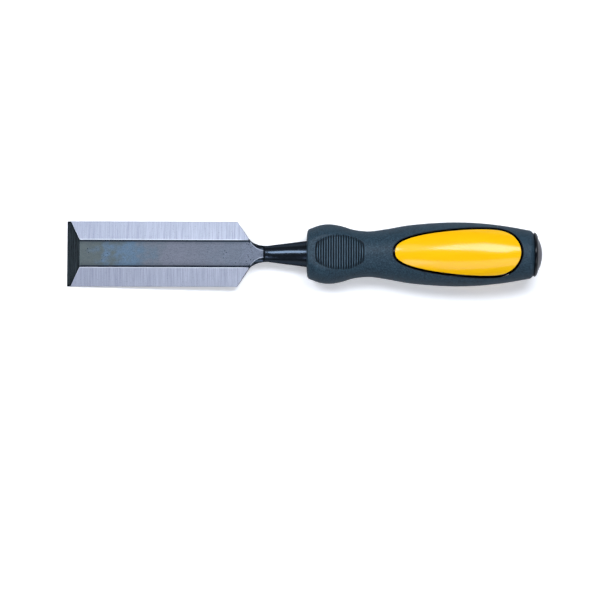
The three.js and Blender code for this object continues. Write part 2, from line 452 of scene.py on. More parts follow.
@dataclass(frozen=True)
class GroundSteel:
    """Bright steel ground across the width: fine scratches along Y, wider soft bands, and small dark specks.

    Attributes:
        name: the material's name.
        light: colour of the brighter streaks.
        dark: colour of the darker streaks; specks and the painted shade of edge lines are a third of it.
        rough: mean roughness.
        streak: width of a scratch.
        wear_and_highlight: how much darker the steel is near the cutting edge, from 0 to 1.
        worn_reach: where the darkening starts to fade and where it ends.
        specks: how dark the specks are, from 0 to 1.
        glint: colour of the painted highlight on a bright edge.
    """

    name: str
    light: Colour
    dark: Colour
    rough: float
    streak: float
    wear_and_highlight: float = 0.0
    worn_reach: Pair = (5.0, 60.0)
    specks: float = 0.5
    glint: Colour = (0.93, 0.95, 1.0)

    def build(self) -> Material:
        """Builds the finish's nodes.

        Returns:
            The material.
        """
        graph = Graph(self.name)
        speck_and_edge_shade = tuple(c / 3.0 for c in self.dark)
        scratches = graph.noise(1.0, 4.0, 0.7, graph.stretched(1.0 / self.streak, 0.05, 0.06))
        bands = graph.noise(1.0, 2.0, 0.5, graph.stretched(0.16, 0.03, 0.03))
        fine = graph.levels(scratches, (0.36, 0.64), (0.0, 0.8))
        tone = graph.math("ADD", fine, graph.levels(bands, (0.35, 0.65), (0.0, 0.1)))
        age = graph.levels(graph.axis("X"), self.worn_reach, (1.0 - self.wear_and_highlight, 1.0))
        streaks = graph.mix(graph.math("MULTIPLY", tone, age), self.dark, self.light)
        dots = graph.levels(graph.noise(0.55, 3.0, 0.6), (0.6, 0.72), (0.0, self.specks))
        # Painted shade darkens the edge lines, and a painted highlight brightens the bright edges.
        lined = graph.mix(graph.painted_light(), graph.mix(dots, streaks, speck_and_edge_shade), speck_and_edge_shade)
        bright = graph.math("MULTIPLY", graph.painted_light(wear_and_highlight=True), 0.9)
        roughness = graph.levels(scratches, NOISE_RANGE, (self.rough - 0.1, self.rough + 0.12))
        graph.shade(Base_Color=graph.mix(bright, lined, self.glint), Roughness=roughness, Metallic=1.0)
        graph.bump(scratches, 0.02, 0.6)
        return graph.material


@dataclass(frozen=True)
class ForgedFlat:
    """The dark oxide skin of the blade's top flat.

    Slate, with a blue heat tint a quarter of the way along, a violet-brown cast past the middle, brushed
    streaks, mottling, small pits towards the shoulders, a painted shade line along the border, and a painted
    highlight at the edge and the tip.
    """

    name: str = "blade_forged_flat"
    slate: Colour = (0.072, 0.086, 0.084)
    blue: Colour = (0.08, 0.125, 0.18)
    brown: Colour = (0.125, 0.13, 0.16)
    rear: Colour = (0.118, 0.132, 0.165)
    scale: Colour = (0.035, 0.045, 0.06)
    # border colours the pits and the painted shade line along the flat's border; glint is the painted
    # highlight.
    border: Colour = (0.012, 0.016, 0.022)
    glint: Colour = (0.55, 0.6, 0.68)
    reach: float = 120.0
    pitted: Pair = (88.0, 104.0)

    def build(self) -> Material:
        """Builds the finish's nodes.

        Returns:
            The material.
        """
        graph = Graph(self.name)
        grain = graph.noise(0.45, 5.0, 0.75)
        cloud = graph.noise(7.0, 4.0, 0.6)
        brushed = graph.noise(1.0, 4.0, 0.7, graph.stretched(0.35, 2.6, 2.6))
        speckle = graph.levels(grain, (0.46, 0.66), (0.0, 0.45))
        marks = graph.math("ADD", speckle, graph.levels(brushed, (0.45, 0.7), (0.0, 0.35)))
        mottled = graph.mix(marks, self._tints(graph, cloud), self.scale)
        pit = self._pits(graph, cloud)
        # Painted shade along the border, then the painted highlight on the edge and at the tip.
        edged = graph.mix(graph.painted_light(), graph.mix(pit, mottled, self.border), self.border)
        roughness = graph.levels(grain, NOISE_RANGE, (0.36, 0.56))
        colour = graph.mix(graph.painted_light(wear_and_highlight=True), edged, self.glint)
        graph.shade(Base_Color=colour, Roughness=roughness, Metallic=1.0)
        graph.bump(grain, 0.03, 0.6)
        graph.bump(graph.math("MULTIPLY", pit, -1.0), 0.1)
        return graph.material

    def _tints(self, graph: Graph, cloud: Socket) -> Socket:
        """The slow change of colour along the blade, its borders broken up by the cloudy noise.

        Args:
            graph: the material's graph.
            cloud: cloudy noise.

        Returns:
            The colour's socket.
        """
        drift = graph.levels(cloud, (0.25, 0.75), (-0.12, 0.12))
        place = graph.math("ADD", graph.levels(graph.axis("X"), (0.0, self.reach)), drift)
        blue = graph.ramp(place, (0.17, 0.0), (0.27, 0.9), (0.34, 0.6), (0.44, 0.1))
        brown = graph.ramp(place, (0.30, 0.0), (0.50, 0.9), (0.74, 0.7), (0.82, 0.0))
        rear = graph.ramp(place, (0.62, 0.0), (0.85, 1.0))
        bluish = graph.mix(blue, self.slate, self.blue)
        return graph.mix(rear, graph.mix(brown, bluish, self.brown), self.rear)

    def _pits(self, graph: Graph, cloud: Socket) -> Socket:
        """Sparse small pits, thicker towards the shoulders.

        Args:
            graph: the material's graph.
            cloud: cloudy noise.

        Returns:
            A value that is 1 in a pit.
        """
        cells = graph.node("ShaderNodeTexVoronoi", {"Scale": 0.75, "Vector": graph.place}, feature="F1")
        pit = graph.levels(cells.outputs["Distance"], (0.12, 0.3), (1.0, 0.0))
        chance = graph.math("ADD", cloud, graph.levels(graph.axis("X"), self.pitted, (0.0, 0.14)))
        return graph.math("MULTIPLY", pit, graph.levels(chance, (0.6, 0.66)))


@dataclass(frozen=True)
class BlackOxide:
    """Blue-black oxide over forged steel with a polish, fine lengthwise rubbing and dust-fine specks."""

    name: str = "neck_black_oxide"
    colour: Colour = (0.029, 0.040, 0.054)
    rubbed: Colour = (0.042, 0.053, 0.068)
    edge_tint: Colour = (0.10, 0.12, 0.15)
    rough: float = 0.14

    def build(self) -> Material:
        """Builds the finish's nodes.

        Returns:
            The material.
        """
        graph = Graph(self.name)
        rubbing = graph.noise(1.0, 4.0, 0.7, graph.stretched(0.3, 2.2, 2.2))
        specks = graph.levels(graph.noise(0.35, 3.0, 0.6), (0.4, 0.6), (0.4, 1.0))
        wear_and_highlight = graph.math("MULTIPLY", graph.levels(rubbing, (0.4, 0.68)), specks)
        roughness = graph.levels(rubbing, NOISE_RANGE, (self.rough - 0.03, self.rough + 0.1))
        graph.shade(Base_Color=graph.mix(wear_and_highlight, self.colour, self.rubbed), Roughness=roughness)
        graph.shade(Metallic=0.8, Specular_Tint=self.edge_tint)
        graph.bump(rubbing, 0.012, 0.35)
        return graph.material


@dataclass(frozen=True)
class SoftRubber:
    """Slate-blue soft rubber: a matt moulded texture, slightly darker where rubbed, painted shade in grooves,
    painted highlight on ribs.
    """

    name: str = "grip_soft_rubber"
    colour: Colour = (0.011, 0.030, 0.046)
    rubbed: Colour = (0.007, 0.020, 0.032)
    speckle: Colour = (0.042, 0.083, 0.115)
    rib_highlight_colour: Colour = (0.115, 0.185, 0.24)
    deep: Colour = (0.003, 0.007, 0.011)

    def build(self) -> Material:
        """Builds the finish's nodes.

        Returns:
            The material.
        """
        graph = Graph(self.name)
        grain = graph.noise(0.7, 4.0, 0.75)
        cloud = graph.noise(7.0, 3.0, 0.5)
        base = graph.mix(graph.levels(cloud, (0.35, 0.7)), self.colour, self.rubbed)
        speckled = graph.mix(graph.levels(grain, (0.44, 0.68)), base, self.speckle)
        # Painted highlight on the ribs, then painted shade in the grooves, the window gaps and the grip's
        # inside.
        ribs = graph.mix(graph.painted_light(wear_and_highlight=True), speckled, self.rib_highlight_colour)
        graph.shade(Base_Color=graph.mix(graph.painted_light(), ribs, self.deep), Specular_IOR_Level=0.24)
        graph.shade(Roughness=graph.levels(grain, NOISE_RANGE, (0.44, 0.62)))
        graph.bump(grain, 0.05, 0.55)
        return graph.material


@dataclass(frozen=True)
class GlossPlastic:
    """Glossy moulded plastic: a faint swirl in the colour, a slow ripple in the skin, painted shade in the
    gaps.
    """

    name: str
    colour: Colour
    shade: Colour
    rough: float
    gloss: float = 0.33
    deep: Colour = (0.004, 0.004, 0.005)

    def build(self) -> Material:
        """Builds the finish's nodes.

        Returns:
            The material.
        """
        graph = Graph(self.name)
        flow = graph.noise(1.0, 3.0, 0.5, graph.stretched(0.03, 0.12, 0.12))
        swirled = graph.mix(graph.levels(flow, (0.3, 0.75)), self.colour, self.shade)
        fine = graph.noise(0.6, 2.0, 0.5)
        roughness = graph.levels(fine, NOISE_RANGE, (self.rough - 0.03, self.rough + 0.06))
        # Painted shade darkens the panels' lower walls, their undersides and the rod under the gaps.
        graph.shade(Base_Color=graph.mix(graph.painted_light(), swirled, self.deep), Roughness=roughness)
        graph.shade(Specular_IOR_Level=self.gloss)
        graph.bump(flow, 0.05, 0.2)
        return graph.material


# ---- blade


class BladeFinish(Enum):
    """Material slots of the forging, in order."""

    BEVEL = 0
    FLAT = 1
    GROUND = 2
    OXIDE = 3
    BACK = 4


@dataclass
class BladeForging:
    """Blade, neck, bolster and tang: one forging, lofted from sections that stand across the tool.

    A section's half runs from the top centre over the flat, down the side bevel or flank, down the side wall
    and in under the back to the bottom centre. Its four sides count from 0 to 3 in that order.
    """

    width: float = 38.1
    thickness: float = 4.3
    land: float = 1.3
    flat_width: float = 15.8
    edge_thickness: float = 0.15
    ground_length: float = 7.5
    length: float = 99.3
    shoulder: Pair = (105.6, 9.5)
    sweep_bend: float = 108.9
    neck_x: float = 117.0
    neck_radius: float = 4.75
    cone_radius: float = 7.65
    bolster_x: float = 142.6
    bolster_radius: float = 8.0
    tang_radius: float = 4.6
    tang_end: Pair = (214.0, 3.6)
    flat_tip: float = 114.3
    ramp_length: float = 1.3
    corner: float = 0.14
    border_insets: tuple[float, ...] = (1.2, 0.8, 0.4)
    # Values across the flat's last columns: painted shade along the border and a painted highlight (-1) on its
    # edge; at the tip, a painted highlight only.
    blade_border: tuple[float, ...] = (0.25, 1.0, 1.0, 1.0, 1.0, 1.0, -1.0)
    tip_border: tuple[float, ...] = (0.0, 0.0, 0.0, -0.7, 0.0, 0.0, 0.0)
    edge_line: Stations = ((100.0, 0.17), (107.0, 0.7))
    flat_shares: tuple[float, ...] = (0.0, 0.3, 0.6)
    bevel_shares: tuple[float, ...] = (0.06, 0.2, 0.4, 0.6, 0.8)
    wall_shares: tuple[float, ...] = (0.35, 0.65)
    back_shares: tuple[float, ...] = (0.04, 0.14, 0.35, 0.6, 0.8, 1.0)
    flat_outline: Stations = (
        (105.7, 7.9),
        (106.8, 6.95),
        (108.7, 4.8),
        (111.4, 2.9),
        (114.0, 2.15),
        (117.0, 2.15),
    )
    foot_settles: Pair = (105.4, 107.6)
    oval_blends: Pair = (105.5, 108.5)
    back_rounds: Pair = (106.0, 116.0)
    finish_laps: Pair = (0.25, 0.05)
    flank_heights: Stations = ((106.9, 2.3), (118.0, AXIS_HEIGHT))
    flatness: Stations = ((116.0, 0.74), (NOSE_X, 1.0))

    def stations(self) -> Array:
        """Places of the sections along the tool, close together at the edges and the shoulders.

        Returns:
            The places, rising.
        """
        bevel, shoulder = self.ground_length, self.shoulder[0]
        runs = [
            [0.0, 0.1, 0.3, 0.8, 1.5, 2.0, 2.24, 2.5],
            np.linspace(3.0, bevel - 0.5, 7),
            bevel + np.array([-0.25, -0.12, -0.05, 0.0, 0.05, 0.12, 0.25, 0.6]),
            np.linspace(10.0, self.length - 1.0, 24),
            self.length + np.array([-0.4, -0.15, 0.0, 0.15, 0.4]),
            np.linspace(self.length + 1.0, shoulder - 0.4, 10),
            np.linspace(shoulder - 0.2, self.neck_x + 1.0, 80),
            np.linspace(self.neck_x + 1.5, self.bolster_x - 0.3, 22),
            [self.bolster_x],
        ]
        return np.concatenate(runs)

    def half_width(self, x: Array) -> Array:
        """Plan: full width, straight shoulders, a concave Bezier curve to the neck, then a straight cone.

        Args:
            x: stations.

        Returns:
            The half width at each.
        """
        neck = (self.neck_x, self.neck_radius)
        sweep = curve_rows(self.shoulder, (self.sweep_bend, self.neck_radius), neck, 40)
        blade = [(0.0, self.width / 2), (self.length, self.width / 2)]
        cone = [(NOSE_X, self.cone_radius), (self.bolster_x, self.bolster_radius)]
        return bends((*blade, *map(tuple, sweep), *cone), x)

    def knots(self, x: Array) -> Array:
        """The half section's knots: top centre, flat's edge, bevel's foot, back's edge and bottom centre.

        The top rises along the ground bevel to the blade's thickness. The flat is wider where the top is
        lower, and past the shoulder it follows its own outline. The bevel's foot rises as the shoulder cuts
        into the bevel's plane, and on the neck it is the flank.

        Args:
            x: stations.

        Returns:
            The (y, z) pairs, of shape (rows, 5, 2).
        """
        half, flat = self.width / 2, self.flat_width / 2
        fall = (self.thickness - self.land) / (half - flat)
        rise = (self.thickness - self.edge_thickness) / self.ground_length
        w = self.half_width(x)
        top = soft_min(self.edge_thickness + rise * x, self.thickness, 0.05)
        on_blade = np.clip(half - (top - self.land) / fall, flat, half)
        on_cone = w * self.flat_outline[-1][1] / self.neck_radius
        on_neck = np.where(x < self.neck_x, smooth_curve(self.flat_outline, x), on_cone)
        f = np.minimum(np.where(x < self.flat_outline[0][0], on_blade, on_neck), w - 1e-3)
        foot = np.minimum(self.land + (half - w) * fall, self.thickness)
        flank = eased(self.flank_heights, x)
        side = np.minimum(between(foot, flank, smooth_step(x, *self.foot_settles)), top)
        zero = np.zeros_like(x)
        return np.stack([[zero, f, w, w, zero], [top, top, side, zero, zero]]).transpose(2, 1, 0)

    def rounded(self, before: Array, at: Array, after: Array) -> Array:
        """A small round corner: a Bezier curve that leaves each side a corner's length from the knot.

        Args:
            before: the knot before, of shape (rows, 2).
            at: the knot that is rounded.
            after: the knot after.

        Returns:
            Four points for each row, of shape (rows, 4, 2).
        """
        ends = []
        for knot in (before, after):
            run = knot - at
            reach = np.maximum(np.linalg.norm(run, axis=1, keepdims=True), TINY)
            ends.append(at + run * np.minimum(self.corner / reach, 0.45))
        return curve_rows(ends[0], at, ends[1], 4)

    def polygon(self, x: Array, knots: Array) -> tuple[Array, Array, Array]:
        """The half section as a polygon with round corners.

        Args:
            x: stations.
            knots: the half section's knots.

        Returns:
            The points of shape (rows, columns, 2), the angle that each has on the neck's oval, and the side
            that each column belongs to.
        """
        f, w = knots[:, 1, 0], knots[:, 2, 0]
        tilt = np.arcsin(np.clip(f / w, 0, 1))[:, None]
        turn = 0.03 * (QUARTER - 0.12 - tilt)
        border = [np.maximum(1.0 - inset / f, 0.6) for inset in self.border_insets]
        line = np.maximum(1.0 - bends(self.edge_line, x) / np.maximum(w - f, TINY), 0.85)
        flat_shares, bevel_shares = (*self.flat_shares, *border), (*self.bevel_shares, line)
        shares = (flat_shares, bevel_shares, self.wall_shares, self.back_shares)
        # Angles on the oval: each side's first and last, then each round corner's first and its step.
        sweeps = ((0.0, tilt), (tilt, QUARTER - 0.12), (QUARTER + 0.1, QUARTER + 0.8), (QUARTER + 0.9, np.pi))
        turns = ((tilt - turn, turn), (QUARTER - 0.08, 0.05), (QUARTER + 0.62, 0.09))
        points, angles, sides = [], [], []
        for side, (start, end) in enumerate(sweeps):
            share = np.stack([np.broadcast_to(s, x.shape) for s in shares[side]], axis=1)
            points.append(between(knots[:, side, None], knots[:, side + 1, None], share[..., None]))
            angles.append(between(start, end, share))
            if side < len(turns):
                points.append(self.rounded(knots[:, side], knots[:, side + 1], knots[:, side + 2]))
                angles.append(turns[side][0] + turns[side][1] * np.broadcast_to(np.arange(4), (len(x), 4)))
            sides += [side] * (share.shape[1] + 4 * (side < len(turns)))
        return np.concatenate(points, axis=1), np.concatenate(angles, axis=1), np.array(sides)

    def sections(self, x: Array) -> tuple[Array, Array]:
        """Half sections: the polygon on the blade, blended behind the shoulder into an oval.

        On the oval y is the half width times the sine of an angle, and z the half height times its cosine,
        with a flat top until the flat's tip and a flat underside that rounds off along the neck.

        Args:
            x: stations.

        Returns:
            The points of shape (rows, columns, 2), and the side that each column belongs to.
        """
        knots = self.knots(x)
        polygon, angle, sides = self.polygon(x, knots)
        (f, top), (w, side) = knots[:, 1].T[..., None], knots[:, 2].T[..., None]
        tilt = np.arcsin(np.clip(f / w, 0, 1))
        ramp = smooth_step(x, self.flat_tip, self.flat_tip + self.ramp_length)[:, None]
        up = w * eased(self.flatness, x)[:, None]
        roof = between(top, AXIS_HEIGHT + up * np.cos(angle), ramp)
        edge = between(top, AXIS_HEIGHT + up * np.cos(tilt), ramp)
        flank = side + (edge - side) * np.cos(angle) / np.cos(tilt)
        sink = smooth_step(x, *self.back_rounds)[:, None]
        under = side + between(side, side - AXIS_HEIGHT + up, sink) * np.cos(angle)
        z = np.where(angle <= tilt + TINY, roof, np.where(angle <= QUARTER, flank, under))
        blend = smooth_step(x, *self.oval_blends)[:, None, None]
        return between(polygon, np.stack([w * np.sin(angle), z], axis=-1), blend), sides

    def slots(self, x: Array, sides: Array) -> Array:
        """Which finish each face takes, from its place along the tool and its side of the section.

        Args:
            x: stations.
            sides: the side that each column belongs to.

        Returns:
            Material indices, one for each face.
        """
        x, side = (x[:-1, None] + x[1:, None]) / 2, sides[1:]
        bevel_lap, flat_lap = self.finish_laps
        past_line = np.arange(len(side)) >= np.flatnonzero(side == 1)[-4]
        slot = np.full((len(x), len(side)), BladeFinish.OXIDE.value)
        for finish, where in (
            (BladeFinish.BEVEL, (side == 1) & (x < self.shoulder[0] + bevel_lap)),
            (BladeFinish.BACK, (side >= 2) & (x < self.shoulder[0])),
            (BladeFinish.OXIDE, past_line & (side <= 2) & (x > self.length)),
            (BladeFinish.FLAT, (side == 0) & (x < self.flat_tip + flat_lap)),
            (BladeFinish.GROUND, (side == 0) & (x < self.ground_length)),
        ):
            slot[where] = finish.value
        return slot

    def marks(self, x: Array, sides: Array) -> Array:
        """The points' painted light values: painted shade and a painted highlight along the flat's border, and
        a painted highlight at its tip.

        Args:
            x: stations.
            sides: the side that each column belongs to.

        Returns:
            The values, of shape (rows, columns).
        """
        mark = np.zeros((len(x), len(sides)))
        flat = int(np.sum(sides == 0))
        tip = (x > self.flat_outline[1][0])[:, None]
        mark[:, flat - len(self.tip_border):flat] = np.where(tip, self.tip_border, self.blade_border)
        return mark

    def build(self) -> Piece:
        """Lofts the forging, closes its cutting edge, and draws its last section back into the tang.

        Returns:
            The finished piece.
        """
        x = self.stations()
        section, sides = self.sections(x)
        slot, mark = self.slots(x, sides), self.marks(x, sides)
        end_x, end_r = self.tang_end
        tang_x = np.array([self.bolster_x, *np.linspace(self.bolster_x + 4, end_x, 10), end_x])
        tang_r = np.interp(tang_x, [self.bolster_x, end_x], [self.tang_radius, end_r])
        tang_r[-1] = 0.0
        surface = Surface()
        for mirror in (1.0, -1.0):
            y, z = section[..., 0] * mirror, section[..., 1]
            grid = np.stack([np.broadcast_to(x[:, None], y.shape), y, z], axis=-1)
            surface.add(grid, slot, mark)
            middle = grid[0] * (1, 1, 0) + (0, 0, self.edge_thickness / 2)
            surface.add(np.stack([grid[0], middle]), BladeFinish.GROUND.value)
            taper = (tang_r / self.bolster_radius)[:, None, None]
            spread = (grid[-1] * (0, 1, 1) - (0, 0, AXIS_HEIGHT)) * taper
            along = tang_x[:, None, None] * (1, 0, 0) + (0, 0, AXIS_HEIGHT)
            surface.add(np.concatenate([grid[-1:], spread + along]), BladeFinish.OXIDE.value)
        return surface.build("blade_forging", self.dress(), sharp=32.0)

    def dress(self) -> list[Material]:
        """Makes the forging's finishes.

        Returns:
            The materials, in the order of BladeFinish.
        """
        bevel = GroundSteel("blade_bevel_steel", (0.61, 0.64, 0.71), (0.29, 0.31, 0.39), 0.58, 0.3, wear_and_highlight=0.3)
        # The ground bevel is the same steel as the side bevels; its darker colours are a painted reflection of
        # a dark surround.
        ground = GroundSteel("blade_ground_bevel", (0.19, 0.25, 0.29), (0.12, 0.16, 0.19), 0.3, 0.25)
        back = GroundSteel("blade_back_steel", (0.62, 0.65, 0.70), (0.46, 0.49, 0.55), 0.32, 0.5)
        return [finish.build() for finish in (bevel, ForgedFlat(), ground, BlackOxide(), back)]


# ---- handle


@dataclass
class HandleForm:
    """The handle's outer form, which the grip and the core's panels share.

    Across the tool a section is an ellipse: z is the half height times the square root of
    1 - (y / half width)^2. The thumb pads flatten it at the front.
    """

    end_x: float = 271.6
    half_widths: Stations = (
        (142.2, 15.0),
        (147.0, 16.7),
        (153.0, 17.4),
        (159.0, 16.55),
        (167.0, 14.25),
        (176.0, 13.35),
        (185.0, 14.45),
        (198.0, 16.75),
        (211.0, 18.05),
        (226.0, 18.7),
        (240.0, 18.25),
        (254.0, 16.75),
        (269.6, 14.1),
    )
    flatness: Stations = ((NOSE_X, 0.89), (157.0, 0.875), (178.0, 0.94), (226.0, 0.9), (271.6, 1.0))
    pad_flat: Stations = ((138.0, 11.7), (168.0, 13.2))
    pad_blend: float = 0.5
    pad_fade: Pair = (166.0, 174.0)
    panel_front: float = 190.8
    panel_wide: float = 240.0
    panel_rear: float = 263.6
    panel_half_width: float = 13.45
    front_powers: Pair = (1.5, 2.6)
    rear_powers: Pair = (3.6, 1.8)

    def half_width(self, x: Array) -> Array:
        """Half width of the handle between the nose's corner and the rear chamfer."""
        return smooth_curve(self.half_widths, x)

    def height(self, x: Array, half_width: Array, y: Array) -> Array:
        """Height of the surface over the handle's axis, on the ellipse and under the thumb flat.

        Args:
            x: place along the tool.
            half_width: half width of the section there.
            y: place across the tool.

        Returns:
            The height, zero at the side.
        """
        share = np.sqrt(np.clip(1.0 - (y / half_width) ** 2, 0.0, 1.0))
        height = half_width * eased(self.flatness, x) * share
        (x0, h0), (x1, h1) = self.pad_flat
        limit = h0 + (h1 - h0) * (x - x0) / (x1 - x0)
        flat = np.maximum(soft_min(height, limit, self.pad_blend), 0.0)
        fade = smooth_step(x, *self.pad_fade)
        return np.where(height < 0.6 * limit, height, between(flat, height, fade))

    def panel_width(self, x: Array) -> Array:
        """Half width of the panel: a long blunt front and a short full rear, each a stretched superellipse.

        Args:
            x: place along the tool.

        Returns:
            The half width, zero at both tips.
        """
        front = np.clip((self.panel_wide - x) / (self.panel_wide - self.panel_front), 0.0, 1.0)
        rear = np.clip((x - self.panel_wide) / (self.panel_rear - self.panel_wide), 0.0, 1.0)
        blunt, full = (
            (1 - away**inner) ** (1 / outer)
            for away, (inner, outer) in ((front, self.front_powers), (rear, self.rear_powers))
        )
        return self.panel_half_width * np.where(x < self.panel_wide, blunt, full)

    def panel_outline(self, margin: float, steps: int) -> Array:
        """One side of the panel's outline, grown by a margin along its normals.

        Args:
            margin: how far it is grown.
            steps: how many steps run from the front tip to the rear tip.

        Returns:
            (x, y) pairs, of shape (steps + 1, 2).
        """
        turn = np.linspace(0.0, np.pi, steps + 1)
        middle, reach = (self.panel_front + self.panel_rear) / 2, (self.panel_rear - self.panel_front) / 2
        x = middle - reach * np.cos(turn)
        edge = np.stack([x, self.panel_width(x)], axis=1)
        run = np.gradient(edge, axis=0)
        run[0], run[-1] = (0.0, 1.0), (0.0, -1.0)
        normal = np.stack([-run[:, 1], run[:, 0]], axis=1)
        grown = edge + margin * normal / np.linalg.norm(normal, axis=1, keepdims=True)
        grown[0, 1] = grown[-1, 1] = 0.0
        return grown


@dataclass(frozen=True)
class GripRows:
    """Rows of the grip's surface, in order along it.

    Attributes:
        x: place along the tool.
        radius: half width of the grip there.
        opening: half width of the window there, zero outside it.
        inner: which rows the inside has too.
        window: the rows along the window.
    """

    x: Array
    radius: Array
    opening: Array
    inner: Array
    window: slice


@dataclass
class SoftGrip:
    """The dark overmould: a shell with a window for each panel and grooved thumb pads."""

    form: HandleForm
    hole_radius: float = 7.95
    face_radius: float = 12.55
    face_dish: float = 0.45
    nose_round: Pair = (2.5, 2.45)
    chamfer: Pair = (0.25, 1.5)
    wall: float = 2.6
    skin: float = 0.8
    groove_gap: float = 1.25
    lip: float = 0.4
    lip_columns: tuple[float, ...] = (0.0, 0.06, 0.16, 0.32, 0.55)
    body_front: float = 142.6
    close_rows: Point = (144.2, 174.6, 0.2)
    window_approach: tuple[float, ...] = (0.8, 0.45, 0.22, 0.08)
    panel_steps: int = 84
    side_steps: int = 40
    groove_count: int = 20
    first_groove: float = 145.0
    groove_pitch: float = 1.46
    groove_half: float = 0.56
    groove_depth: float = 1.0
    groove_bow: float = 0.02
    pad_centre: float = 158.9
    pad_reach: float = 16.4
    pad_half_width: float = 10.1
    pad_fade: Pair = (0.97, 1.01)
    rib_fade: Pair = (0.8, 0.95)
    # How strongly the ribs between grooves take a painted highlight.
    painted_rib_highlight: float = 0.5

    def outline(self) -> Array:
        """One side of the window's outline: the panel's, grown by the gap."""
        return self.form.panel_outline(self.groove_gap, self.panel_steps)

    def rows(self) -> GripRows:
        """Rows from the neck's hole over the nose's face and corner, along the grip and to its rear chamfer.

        Returns:
            The rows, closest together over the thumb grooves and at the window's tips.
        """
        share = np.linspace(0.0, 1.0, 8)
        face = [NOSE_X + self.face_dish * share**2, between(self.hole_radius, self.face_radius, share)]
        turn = np.linspace(0.12, 1.35, 10)
        depth, width = self.nose_round
        face_x = NOSE_X + self.face_dish
        corner = [face_x + depth * (1 - np.cos(turn)), self.face_radius + width * np.sin(turn)]
        outline, near = self.outline(), np.array(self.window_approach)
        end_x, end_r = self.form.half_widths[-1]
        close, open_out, step = self.close_rows
        body_x = np.concatenate(
            [
                np.linspace(self.body_front, close - step, 4),
                np.arange(close, open_out, step),
                np.linspace(open_out + 3 * step, self.form.panel_front - self.groove_gap - 1.2, 14),
                outline[0, 0] - near,
                outline[:, 0],
                outline[-1, 0] + near[::-1],
                np.linspace(outline[-1, 0] + near[0] + 0.7, end_x, 6),
            ]
        )
        tail = np.linspace(0.15, 1.0, 6)
        slant, roll = self.chamfer
        chamfer = [between(end_x, self.form.end_x, tail), end_r - slant * tail - roll * tail**1.6]
        x, radius = np.concatenate([face, corner, [body_x, self.form.half_width(body_x)], chamfer], axis=1)
        first = int(np.searchsorted(x, outline[0, 0]))
        window = slice(first, first + len(outline))
        opening = np.zeros_like(x)
        opening[window] = outline[:, 1]
        inner = np.ones(len(x), bool)
        inner[len(share):first - len(near)] = False
        inner[len(share):first - len(near):12] = True
        return GripRows(x, radius, opening, inner, window)

    def pad(self, x: Array, y: Array) -> Array:
        """How far out on the thumb pad's oval a point lies: 0 in its middle and 1 at its edge."""
        return np.hypot((x - self.pad_centre) / self.pad_reach, y / self.pad_half_width)

    def grooves(self, x: Array, y: Array) -> Array:
        """Depth of the cross grooves: a raised cosine across each, faded out at the pad's oval edge.

        The first and the last grooves bow outwards, and the bow dies away from groove to groove.

        Args:
            x: place along the tool.
            y: place across the tool.

        Returns:
            The depth at each point, as a share of the full depth.
        """
        depth = np.zeros(np.shape(x))
        for k in range(self.groove_count):
            bow = self.groove_bow * (math.exp(-k) - math.exp(k - self.groove_count + 1))
            centre = self.first_groove + self.groove_pitch * k + bow * y**2
            across = np.clip(np.abs(x - centre) / self.groove_half, 0.0, 1.0)
            depth = np.maximum(depth, 0.5 * (1 + np.cos(np.pi * across)))
        return depth * (1 - smooth_step(self.pad(x, y), *self.pad_fade))

    def outside(self, rows: GripRows) -> tuple[Array, Array]:
        """A quarter of the grip's outside over the handle's axis, from the upper middle down to the side.

        Args:
            rows: the grip's rows.

        Returns:
            The points of shape (rows, columns, 3), and their painted light values: painted shade of 1 in the
            grooves and at the window's edge, and a painted highlight below 0 on the ribs between grooves.
        """
        radius = rows.radius[:, None]
        first = np.arcsin(np.clip((rows.opening[:, None] + self.lip_columns) / radius, 0.0, 1.0))
        rest = between(first[:, -1:], QUARTER, np.linspace(0.0, 1.0, self.side_steps)[1:])
        y = radius * np.sin(np.concatenate([first, rest], axis=1))
        x = np.broadcast_to(rows.x[:, None], y.shape)
        z = self.form.height(x, radius, y)
        z[:, -1] = 0.0
        upper = z > 1.0
        gap = distance_to(self.outline(), x, y) / self.lip
        fall = np.clip(1.0 - gap, 0.0, 1.0)
        groove = self.grooves(x, y) * upper
        z = z - self.lip * (1.0 - np.sqrt(1.0 - fall**2)) * upper - self.groove_depth * groove
        on_pad = 1.0 - smooth_step(self.pad(x, y), *self.rib_fade)
        ribs = (1.0 - smooth_step(groove, 0.0, 0.2)) * on_pad * upper
        # Painted shade in the grooves and along the window's gap, less a painted highlight on the ribs.
        painted_light = smooth_step(groove, 0.02, 0.3) + np.clip(1.3 - gap, 0.0, 1.0) - self.painted_rib_highlight * ribs
        return np.stack([x, y, np.maximum(z, 0.0)], axis=-1), np.clip(painted_light, -1.0, 1.0)

    def inside(self, rows: GripRows, outside: Array) -> Array:
        """The same quarter's inside: the section drawn in by the wall, and at least a skin under the outside.

        Args:
            rows: the grip's rows.
            outside: the outside's points.

        Returns:
            The points, of shape (inner rows, columns, 3).
        """
        radius, opening = rows.radius[rows.inner, None], rows.opening[rows.inner, None]
        _, y_out, z_out = np.moveaxis(outside[rows.inner], -1, 0)
        deep = np.maximum(radius - self.wall, self.hole_radius)
        x = np.maximum(rows.x[rows.inner, None], NOSE_X + 3.0)
        y = opening + (y_out - opening) * ((deep - opening) / (radius - opening))
        z = deep * eased(self.form.flatness, x) * np.sqrt(np.clip(1 - (y / deep) ** 2, 0, 1))
        z = np.minimum(z, np.where(deep < radius, np.maximum(z_out - self.skin, 0.0), np.inf))
        z[:, -1] = 0.0
        return np.stack([np.broadcast_to(x, y.shape), y, z], axis=-1)

